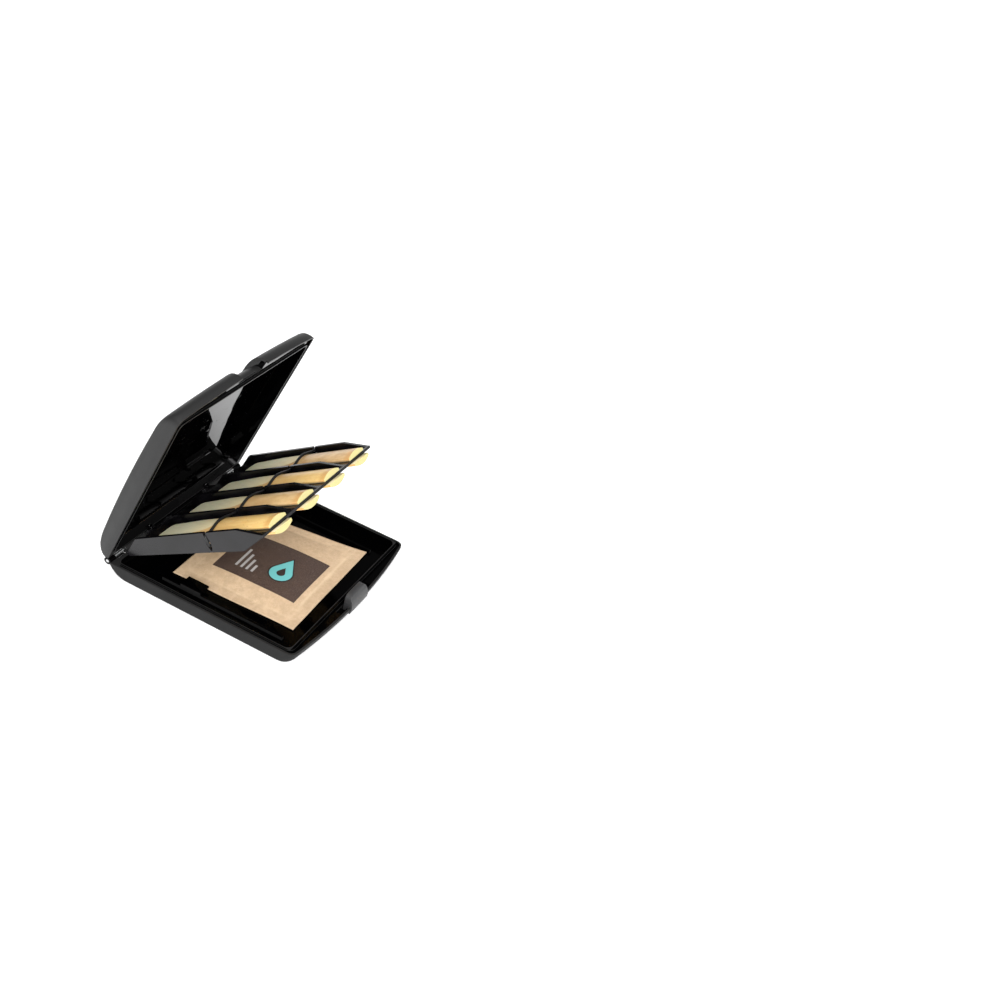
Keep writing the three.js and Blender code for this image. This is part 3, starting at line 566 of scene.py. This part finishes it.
def ring_faces(rings, sides, closed):
    """Quads between rings of points; closed joins the last ring to the first. They face outwards
    where a ring's points run clockwise, seen from the next ring."""
    faces = []
    for i in range(rings if closed else rings - 1):
        for k in range(sides):
            after = (k + 1) % sides
            ahead = (i + 1) % rings
            faces.append((i * sides + k, ahead * sides + k, ahead * sides + after, i * sides + after))
    return faces


def in_holder(x, reach, height, over=0.0):
    """The frame of a piece in the raised holder. Its place is given for the holder lying flat, and
    over is how far the piece is turned about its own length."""
    seat = Matrix.Translation((x, -reach, height)) @ Matrix.Rotation(math.radians(over), 4, "Y")
    raised = Matrix.Rotation(math.radians(-HOLDER_ANGLE), 4, "X")
    in_mm = Matrix.Translation(HINGE) @ raised @ seat
    return Matrix.Scale(MM, 4) @ in_mm @ Matrix.Scale(1 / MM, 4)


# Reeds

def reed_heights(across, run):
    """Heights of the bark and of the vamp above a reed's flat side, at a share across the reed
    from -1 to 1. Short of the cut, the vamp is set well above the bark."""
    bark = REED_EDGE + (REED_THICKNESS - REED_EDGE) * (1 - across ** 2)
    fall = np.clip((run - REED_BARK) / (REED_LENGTH - REED_BARK), 0, 1)
    heart = REED_THICKNESS + (REED_TIP_THICKNESS - REED_THICKNESS) * fall ** VAMP_FALL_POWER
    flank = np.minimum(REED_EDGE, heart * VAMP_FLANK_SHARE)
    crowned = flank + (heart - flank) * (1 - VAMP_CROWN_SHARE * across ** 2)
    return bark, np.where(run < REED_BARK, UNCUT, crowned)


def reed_mesh(name, seed, material):
    """A reed along +Y from its butt, flat side down, with its depth of cut kept on each point."""
    shares = np.linspace(1, -1, 26)
    fine_end = REED_BARK + 16
    round_start = REED_LENGTH - REED_TIP_ROUND
    runs = np.concatenate([
        np.linspace(0.0, REED_BARK - 1, 18),
        np.linspace(REED_BARK - 0.5, fine_end, 40),
        np.linspace(fine_end + 1, round_start, 22),
        REED_LENGTH - REED_TIP_ROUND * (1 - np.sin(np.linspace(0.1, 1, 8) * math.pi / 2)),
    ])
    points = []
    depths = []
    for run in runs:
        width = (REED_BUTT_WIDTH + (REED_TIP_WIDTH - REED_BUTT_WIDTH) * run / REED_LENGTH) / 2
        tip = min(1.0, (REED_LENGTH - run) / REED_TIP_ROUND)
        width *= REED_TIP_SHARE + (1 - REED_TIP_SHARE) * math.sqrt(1 - (1 - tip) ** 2)
        bark, vamp = reed_heights(shares, run)
        surface = np.minimum(bark, vamp)
        points.append((width, run, 0.0))
        points.extend((width * share, run, height) for share, height in zip(shares, surface))
        points.append((-width, run, 0.0))
        depths.extend([-1.0, *(vamp - bark), -1.0])
    sides = len(shares) + 2
    faces = ring_faces(len(runs), sides, closed=False)
    faces.append(tuple(reversed(range((len(runs) - 1) * sides, len(runs) * sides))))
    butt = len(points)
    faces.append(tuple(range(butt, butt + sides)))
    points.extend(points[:sides])
    depths.extend(depths[:sides])
    piece = mesh_object(name, np.array(points) * MM, faces, material)
    point_attribute(piece, "bark_depth", depths)
    point_attribute(piece, "butt_end", [0.0] * butt + [1.0] * sides)
    point_attribute(piece, "cane_seed", [seed] * len(points))
    return piece


def make_reeds():
    material = reed_material()
    rows = (
        ("upper", 1, 0.0, UPPER_BUTT_REACH, (0.05, 0.75, 0.20, 0.95)),
        ("lower", -1, 180.0, LOWER_BUTT_REACH, (0.30, 0.60, 0.15, 0.50)),
    )
    for level, side, over, reach, seeds in rows:
        for number, seed in enumerate(seeds):
            centre = REED_PITCH * (number - 1.5)
            piece = reed_mesh(f"{level}_reed_{number + 1}_cane", seed, material)
            piece.matrix_world = in_holder(centre, reach, HOLDER_RISE + side * REED_SEAT, over)
            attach(piece, "holder")
            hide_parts(f"{level}_reed_{number + 1}")


# Elastic cord

def cord_route():
    """The loop's points as (x, height about the plate): over two channels and round the end wall
    on each side of the middle, then the same below the plate."""
    steps = 28
    turn_steps = 10
    quarter = []
    for channel in range(2):
        for i in range(steps):
            share = i / steps
            swell = math.sin(math.pi * share) ** 2
            height = CORD_SLIT_HEIGHT + (CORD_CROWN - CORD_SLIT_HEIGHT) * swell
            quarter.append(((channel + share) * REED_PITCH, height))
    for i in range(turn_steps + 1):
        angle = math.pi / 2 * (1 - i / turn_steps)
        height = CORD_SLIT_HEIGHT - CORD_TURN + CORD_TURN * math.sin(angle)
        quarter.append((CORD_TURN_X + CORD_TURN * math.cos(angle), height))
    upper = [(-x, h) for x, h in reversed(quarter[1:])] + quarter
    return upper + [(x, -h) for x, h in reversed(upper)]


def make_cord():
    sides = 20
    route = np.array(cord_route())
    ahead = np.roll(route, -1, 0)
    along = ahead - np.roll(route, 1, 0)
    along /= np.linalg.norm(along, axis=1)[:, None]
    travelled = np.concatenate([[0], np.cumsum(np.linalg.norm(ahead - route, axis=1))])
    points = []
    for (x, h), (tx, th) in zip(route, along):
        for k in range(sides):
            angle = math.tau * k / sides
            out = CORD_RADIUS * math.cos(angle)
            points.append((x + th * out, CORD_RADIUS * math.sin(angle), h - tx * out))
    faces = [face[::-1] for face in ring_faces(len(route), sides, closed=True)]
    piece = mesh_object("elastic_cord_braid", np.array(points) * MM, faces, cord_material())
    layer = piece.data.uv_layers.new(name="braid")
    length = travelled[-1]
    yarns = round(length / YARN_PITCH)
    for face in piece.data.polygons:
        ring = face.index // sides
        side = face.index % sides
        for corner in face.loop_indices:
            vertex = piece.data.loops[corner].vertex_index
            step = ring if vertex // sides == ring else ring + 1
            turn = side if vertex % sides == side else side + 1
            layer.data[corner].uv = (travelled[step] / length * yarns, turn / sides * YARNS_AROUND)
    piece.matrix_world = in_holder(0.0, CORD_REACH, HOLDER_RISE)
    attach(piece, "holder")
    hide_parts("elastic_cord")


# Humidity pack

def soft_noise(x, y, seed, scale):
    """A smooth random field from a few waves, from -1 to 1."""
    random = np.random.default_rng(seed)
    total = np.zeros_like(x)
    for _ in range(7):
        angle = random.uniform(0, math.tau)
        stretch = random.uniform(0.6, 1.6) * scale
        phase = random.uniform(0, math.tau)
        total += np.sin((x * math.cos(angle) + y * math.sin(angle)) * stretch + phase)
    return total / 7


def ridge(place, middle, width):
    """1 at the middle, and less to both sides."""
    return np.exp(-((place - middle) / width) ** 2)


def pack_heights(gx, gy, seam):
    """Heights of the pouch's upper and lower faces. Seam is the way in from the edge, in seam
    widths."""
    far_x = np.clip(np.abs(gx) / (PACK_WIDTH / 2 - PACK_SEAM_WIDTH), 0, 1)
    far_y = np.clip(np.abs(gy) / (PACK_LENGTH / 2 - PACK_SEAM_WIDTH), 0, 1)
    crown = (1 - far_x ** PACK_CROWN_POWER) * (1 - far_y ** PACK_CROWN_POWER)
    lumps = PACK_LUMP * soft_noise(gx, gy, seed=11, scale=0.28)
    dents = PACK_DENT * soft_noise(gx, gy, seed=12, scale=0.7)
    pucker = PACK_PUCKER * soft_noise(gx, gy, seed=21, scale=1.1) * ridge(seam, 1.15, 0.5)
    wave = PACK_WAVE * (1 + soft_noise(gx, gy, seed=31, scale=0.2)) * np.exp(-seam / 0.6)
    swell = PACK_THICKNESS - PACK_SEAM - PACK_HEADROOM
    top = PACK_SEAM + (swell + lumps + dents) * crown + pucker
    return np.maximum(top, PACK_SEAM * 0.7) + wave, wave * 0.8


def pouch_faces(steps):
    """Faces of two square sheets of points, upper and then lower, joined round their edge."""
    side = steps + 1
    faces = []
    for i in range(steps):
        for j in range(steps):
            a = i * side + j
            quad = (a, a + side, a + side + 1, a + 1)
            faces.append(quad)
            faces.append(tuple(side * side + k for k in reversed(quad)))
    rim = (
        [i * side for i in range(steps)] + [steps * side + j for j in range(steps)]
        + [i * side + steps for i in range(steps, 0, -1)] + list(range(steps, 0, -1))
    )
    for here, ahead in zip(rim, rim[1:] + rim[:1]):
        faces.append((here, here + side * side, ahead + side * side, ahead))
    return faces


def make_pack():
    """The paper pouch: two sheets with wavy edges, whose +X side is drawn in most at the hinge."""
    u = np.linspace(-1, 1, PACK_STEPS + 1)
    gx, gy = np.meshgrid(u * PACK_WIDTH / 2, u * PACK_LENGTH / 2, indexing="ij")
    pull_x = PACK_EDGE_PULL * (0.6 + soft_noise(gy, gy * 0, seed=3, scale=0.16))
    pull_y = PACK_EDGE_PULL * (0.6 + soft_noise(gx, gx * 0, seed=5, scale=0.16))
    run = (gy + PACK_LENGTH / 2) / PACK_DRAWN_RUN
    drawn_in = PACK_DRAWN_IN * run * (1.25 - 0.25 * run) * ((u[:, None] + 1) / 2) ** 2
    x = gx * (1 - pull_x / (PACK_WIDTH / 2)) - drawn_in
    y = gy * (1 - pull_y / (PACK_LENGTH / 2))
    off_edge = np.minimum(PACK_WIDTH / 2 - np.abs(gx), PACK_LENGTH / 2 - np.abs(gy))
    seam = np.clip(off_edge / PACK_SEAM_WIDTH, 0, None)
    sheets = [np.stack([x, y, height], -1).reshape(-1, 3) for height in pack_heights(gx, gy, seam)]
    points = np.concatenate(sheets) * MM
    piece = mesh_object("humidity_pack_pouch", points, pouch_faces(PACK_STEPS), pack_material())
    off_fold = np.abs(gx - PACK_FOLD_CENTRE[0])
    fold = ridge(gy, PACK_FOLD_CENTRE[1], PACK_FOLD_WIDTH)
    fold *= np.clip((PACK_FOLD_HALF - off_fold) / PACK_FOLD_FADE, 0, 1)
    crimp = 0.3 * ridge(seam, 1.05, 0.1)
    point_attribute(piece, "seam", np.tile((crimp + fold).clip(0, 1).reshape(-1), 2))
    layer = piece.data.uv_layers.new(name="print")
    flat = np.tile(np.stack([gx, gy], -1).reshape(-1, 2) * MM, (2, 1))
    for loop in piece.data.loops:
        layer.data[loop.index].uv = flat[loop.vertex_index]
    turn = Matrix.Rotation(math.radians(PACK_ANGLE), 4, "Z")
    piece.matrix_world = Matrix.Translation(PACK_CENTRE * MM) @ turn
    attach(piece, "tray")
    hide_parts("humidity_pack")


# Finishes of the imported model's own nodes

def smooth_by_angle(limit):
    """A node group that shades a piece smooth, apart from edges sharper than the limit in degrees."""
    group = bpy.data.node_groups.new("smooth_by_angle", "GeometryNodeTree")
    for direction in ("INPUT", "OUTPUT"):
        group.interface.new_socket("Geometry", in_out=direction, socket_type="NodeSocketGeometry")

    def step(kind, source, **inputs):
        made = group.nodes.new(kind)
        group.links.new(source, made.inputs[0])
        for name, value in inputs.items():
            made.inputs[name.replace("_", " ")].default_value = value
        return made

    start = group.nodes.new("NodeGroupInput")
    welded = step("GeometryNodeMergeByDistance", start.outputs[0], Distance=0.001 * MM)
    plain = step("GeometryNodeRemoveAttribute", welded.outputs[0], Name="custom_normal")
    smooth = step("GeometryNodeSetShadeSmooth", plain.outputs[0], Shade_Smooth=True)
    creased = step("GeometryNodeSetShadeSmooth", smooth.outputs[0], Shade_Smooth=False)
    creased.domain = "EDGE"
    angle = group.nodes.new("GeometryNodeInputMeshEdgeAngle")
    sharp = group.nodes.new("FunctionNodeCompare")
    sharp.operation = "GREATER_THAN"
    sharp.inputs["B"].default_value = math.radians(limit)
    group.links.new(angle.outputs["Unsigned Angle"], sharp.inputs["A"])
    group.links.new(sharp.outputs["Result"], creased.inputs["Selection"])
    end = group.nodes.new("NodeGroupOutput")
    group.links.new(creased.outputs[0], end.inputs[0])
    return group


def dress(node, material, smoothing):
    """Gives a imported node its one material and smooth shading."""
    piece = frame["nodes"][node]
    piece.data.materials.clear()
    piece.data.materials.append(material)
    piece.modifiers.new("smooth_by_angle", "NODES").node_group = smoothing
    even = piece.modifiers.new("even_normals", "WEIGHTED_NORMAL")
    even.mode = "CORNER_ANGLE"
    even.keep_sharp = True


def dress_packed_nodes():
    tray_plastic = shell_material(
        "tray_plastic", tray_inside, shade=0.0185, gloss=(0.05, 0.12), sheen=0.04)
    lid_plastic = shell_material(
        "lid_plastic", lid_inside, shade=0.0100, gloss=(0.012, 0.035), sheen=0.36)
    smoothing = smooth_by_angle(SHARP_EDGE)
    dress("tray_shell", tray_plastic, smoothing)
    dress("lid_shell", lid_plastic, smoothing)
    dress("reed_holder", holder_material(), smoothing)
    dress("thumb_catch", catch_material(), smoothing)
    dress("hinge_pin", pin_material(), smoothing)


# Webs round the hinge pin

def make_web(name, body, opened, span, angles, inside, material):
    """A curved web round the hinge line, on a body that is shown opened by that many degrees.
    Its angles run from straight ahead, 0, through straight up, 90, in the shut case."""
    steps = 10
    bends = [math.radians(angles[0] + (angles[1] - angles[0]) * i / steps) for i in range(steps + 1)]
    section = [(inside, bend) for bend in bends] + [(WEB_OUTSIDE, bend) for bend in reversed(bends)]
    turn = Matrix.Rotation(math.radians(-opened), 4, "X")
    points = []
    for x in span:
        for radius, bend in section:
            shut = Vector((x, -radius * math.cos(bend), radius * math.sin(bend)))
            points.append((HINGE + turn @ shut) * MM)
    sides = len(section)
    faces = ring_faces(2, sides, closed=False)
    faces.append(tuple(range(sides)))
    faces.append(tuple(reversed(range(sides, 2 * sides))))
    piece = mesh_object(name, points, faces, material)
    piece.data.shade_flat()
    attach(piece, body)


def make_webs():
    tray_plastic = frame["nodes"]["tray_shell"].data.materials[0]
    lid_plastic = frame["nodes"]["lid_shell"].data.materials[0]
    for label, hand in (("left", -1), ("right", 1)):
        make_web(
            f"tray_pin_web_{label}", "tray", 0.0, sorted(hand * x for x in PIN_WEB_SPAN),
            PIN_WEB_ANGLES, PIN_WEB_INSIDE, tray_plastic,
        )
        make_web(
            f"lid_arm_web_{label}", "lid", LID_ANGLE, sorted(hand * x for x in ARM_WEB_SPAN),
            ARM_WEB_ANGLES, ARM_WEB_INSIDE, lid_plastic,
        )


# Studio

def make_floor():
    spots = [FLOOR_SIZE * (i / FLOOR_STEPS - 0.5) for i in range(FLOOR_STEPS + 1)]
    points = [(x, y, -FLOOR_DROP) for x in spots for y in spots]
    faces = []
    for i in range(FLOOR_STEPS):
        for j in range(FLOOR_STEPS):
            a = i * (FLOOR_STEPS + 1) + j
            faces.append((a, a + FLOOR_STEPS + 1, a + FLOOR_STEPS + 2, a + 1))
    mesh_object("studio_floor", points, faces, floor_material())


def soft_box(name, place, target, size, power):
    light = bpy.data.lights.new(name, "AREA")
    light.shape = "RECTANGLE"
    light.size, light.size_y = size
    light.energy = power
    made = bpy.data.objects.new(name, light)
    bpy.context.scene.collection.objects.link(made)
    made.location = place
    made.rotation_mode = "QUATERNION"
    made.rotation_quaternion = (Vector(target) - Vector(place)).to_track_quat("-Z", "Y")


def make_sky():
    """White all round near the floor, and dim above, as in a studio with a lit background."""
    world = bpy.data.worlds.new("studio")
    world.use_nodes = True
    tree = world.node_tree
    coordinates = tree.nodes.new("ShaderNodeTexCoord")
    split = tree.nodes.new("ShaderNodeSeparateXYZ")
    fade = tree.nodes.new("ShaderNodeMapRange")
    fade.interpolation_type = "SMOOTHSTEP"
    tree.links.new(coordinates.outputs["Generated"], split.inputs[0])
    tree.links.new(split.outputs["Z"], fade.inputs["Value"])
    for name, number in (("From Min", 0.10), ("From Max", 0.38), ("To Min", 1.1), ("To Max", 0.30)):
        fade.inputs[name].default_value = number
    background = tree.nodes["Background"]
    tree.links.new(fade.outputs["Result"], background.inputs["Strength"])
    background.inputs["Color"].default_value = (1.0, 1.0, 1.0, 1.0)
    bpy.context.scene.world = world


def make_sun(direction, strength, angle):
    light = bpy.data.lights.new("overhead_silk", "SUN")
    light.energy = strength
    light.angle = math.radians(angle)
    made = bpy.data.objects.new("overhead_silk", light)
    bpy.context.scene.collection.objects.link(made)
    made.rotation_mode = "QUATERNION"
    made.rotation_quaternion = Vector(direction).to_track_quat("-Z", "Y")


def make_camera():
    """The photograph's camera: its place, where it looks, how it is rolled, and its lens."""
    place = Vector((-0.32753, -0.20601, 0.33886))
    target = Vector((0.12100, -0.06969, 0.0))
    roll = 14.101
    data = bpy.data.cameras.new("camera")
    data.lens = 38.28
    data.sensor_width = 36.0
    data.clip_start = 0.01
    data.clip_end = 50.0
    camera = bpy.data.objects.new("camera", data)
    bpy.context.scene.collection.objects.link(camera)
    look = (target - place).to_track_quat("-Z", "Y").to_matrix().to_4x4()
    camera.matrix_world = Matrix.Translation(place) @ look @ Matrix.Rotation(math.radians(roll), 4, "Z")
    bpy.context.scene.camera = camera


dress_packed_nodes()
make_webs()
make_reeds()
make_cord()
make_pack()
make_floor()
make_sky()
make_sun(direction=(0.10, 0.12, -1.0), strength=1.7, angle=85.0)
soft_box("left_silk", place=(-1.1, -0.5, 0.85), target=(0.0, 0.0, 0.03), size=(1.0, 1.0), power=19.0)
soft_box("front_silk", place=(-0.45, -1.1, 0.45), target=(0.0, 0.0, 0.02), size=(1.2, 0.7), power=9.0)
make_camera()
bpy.context.scene.view_settings.view_transform = "Standard"
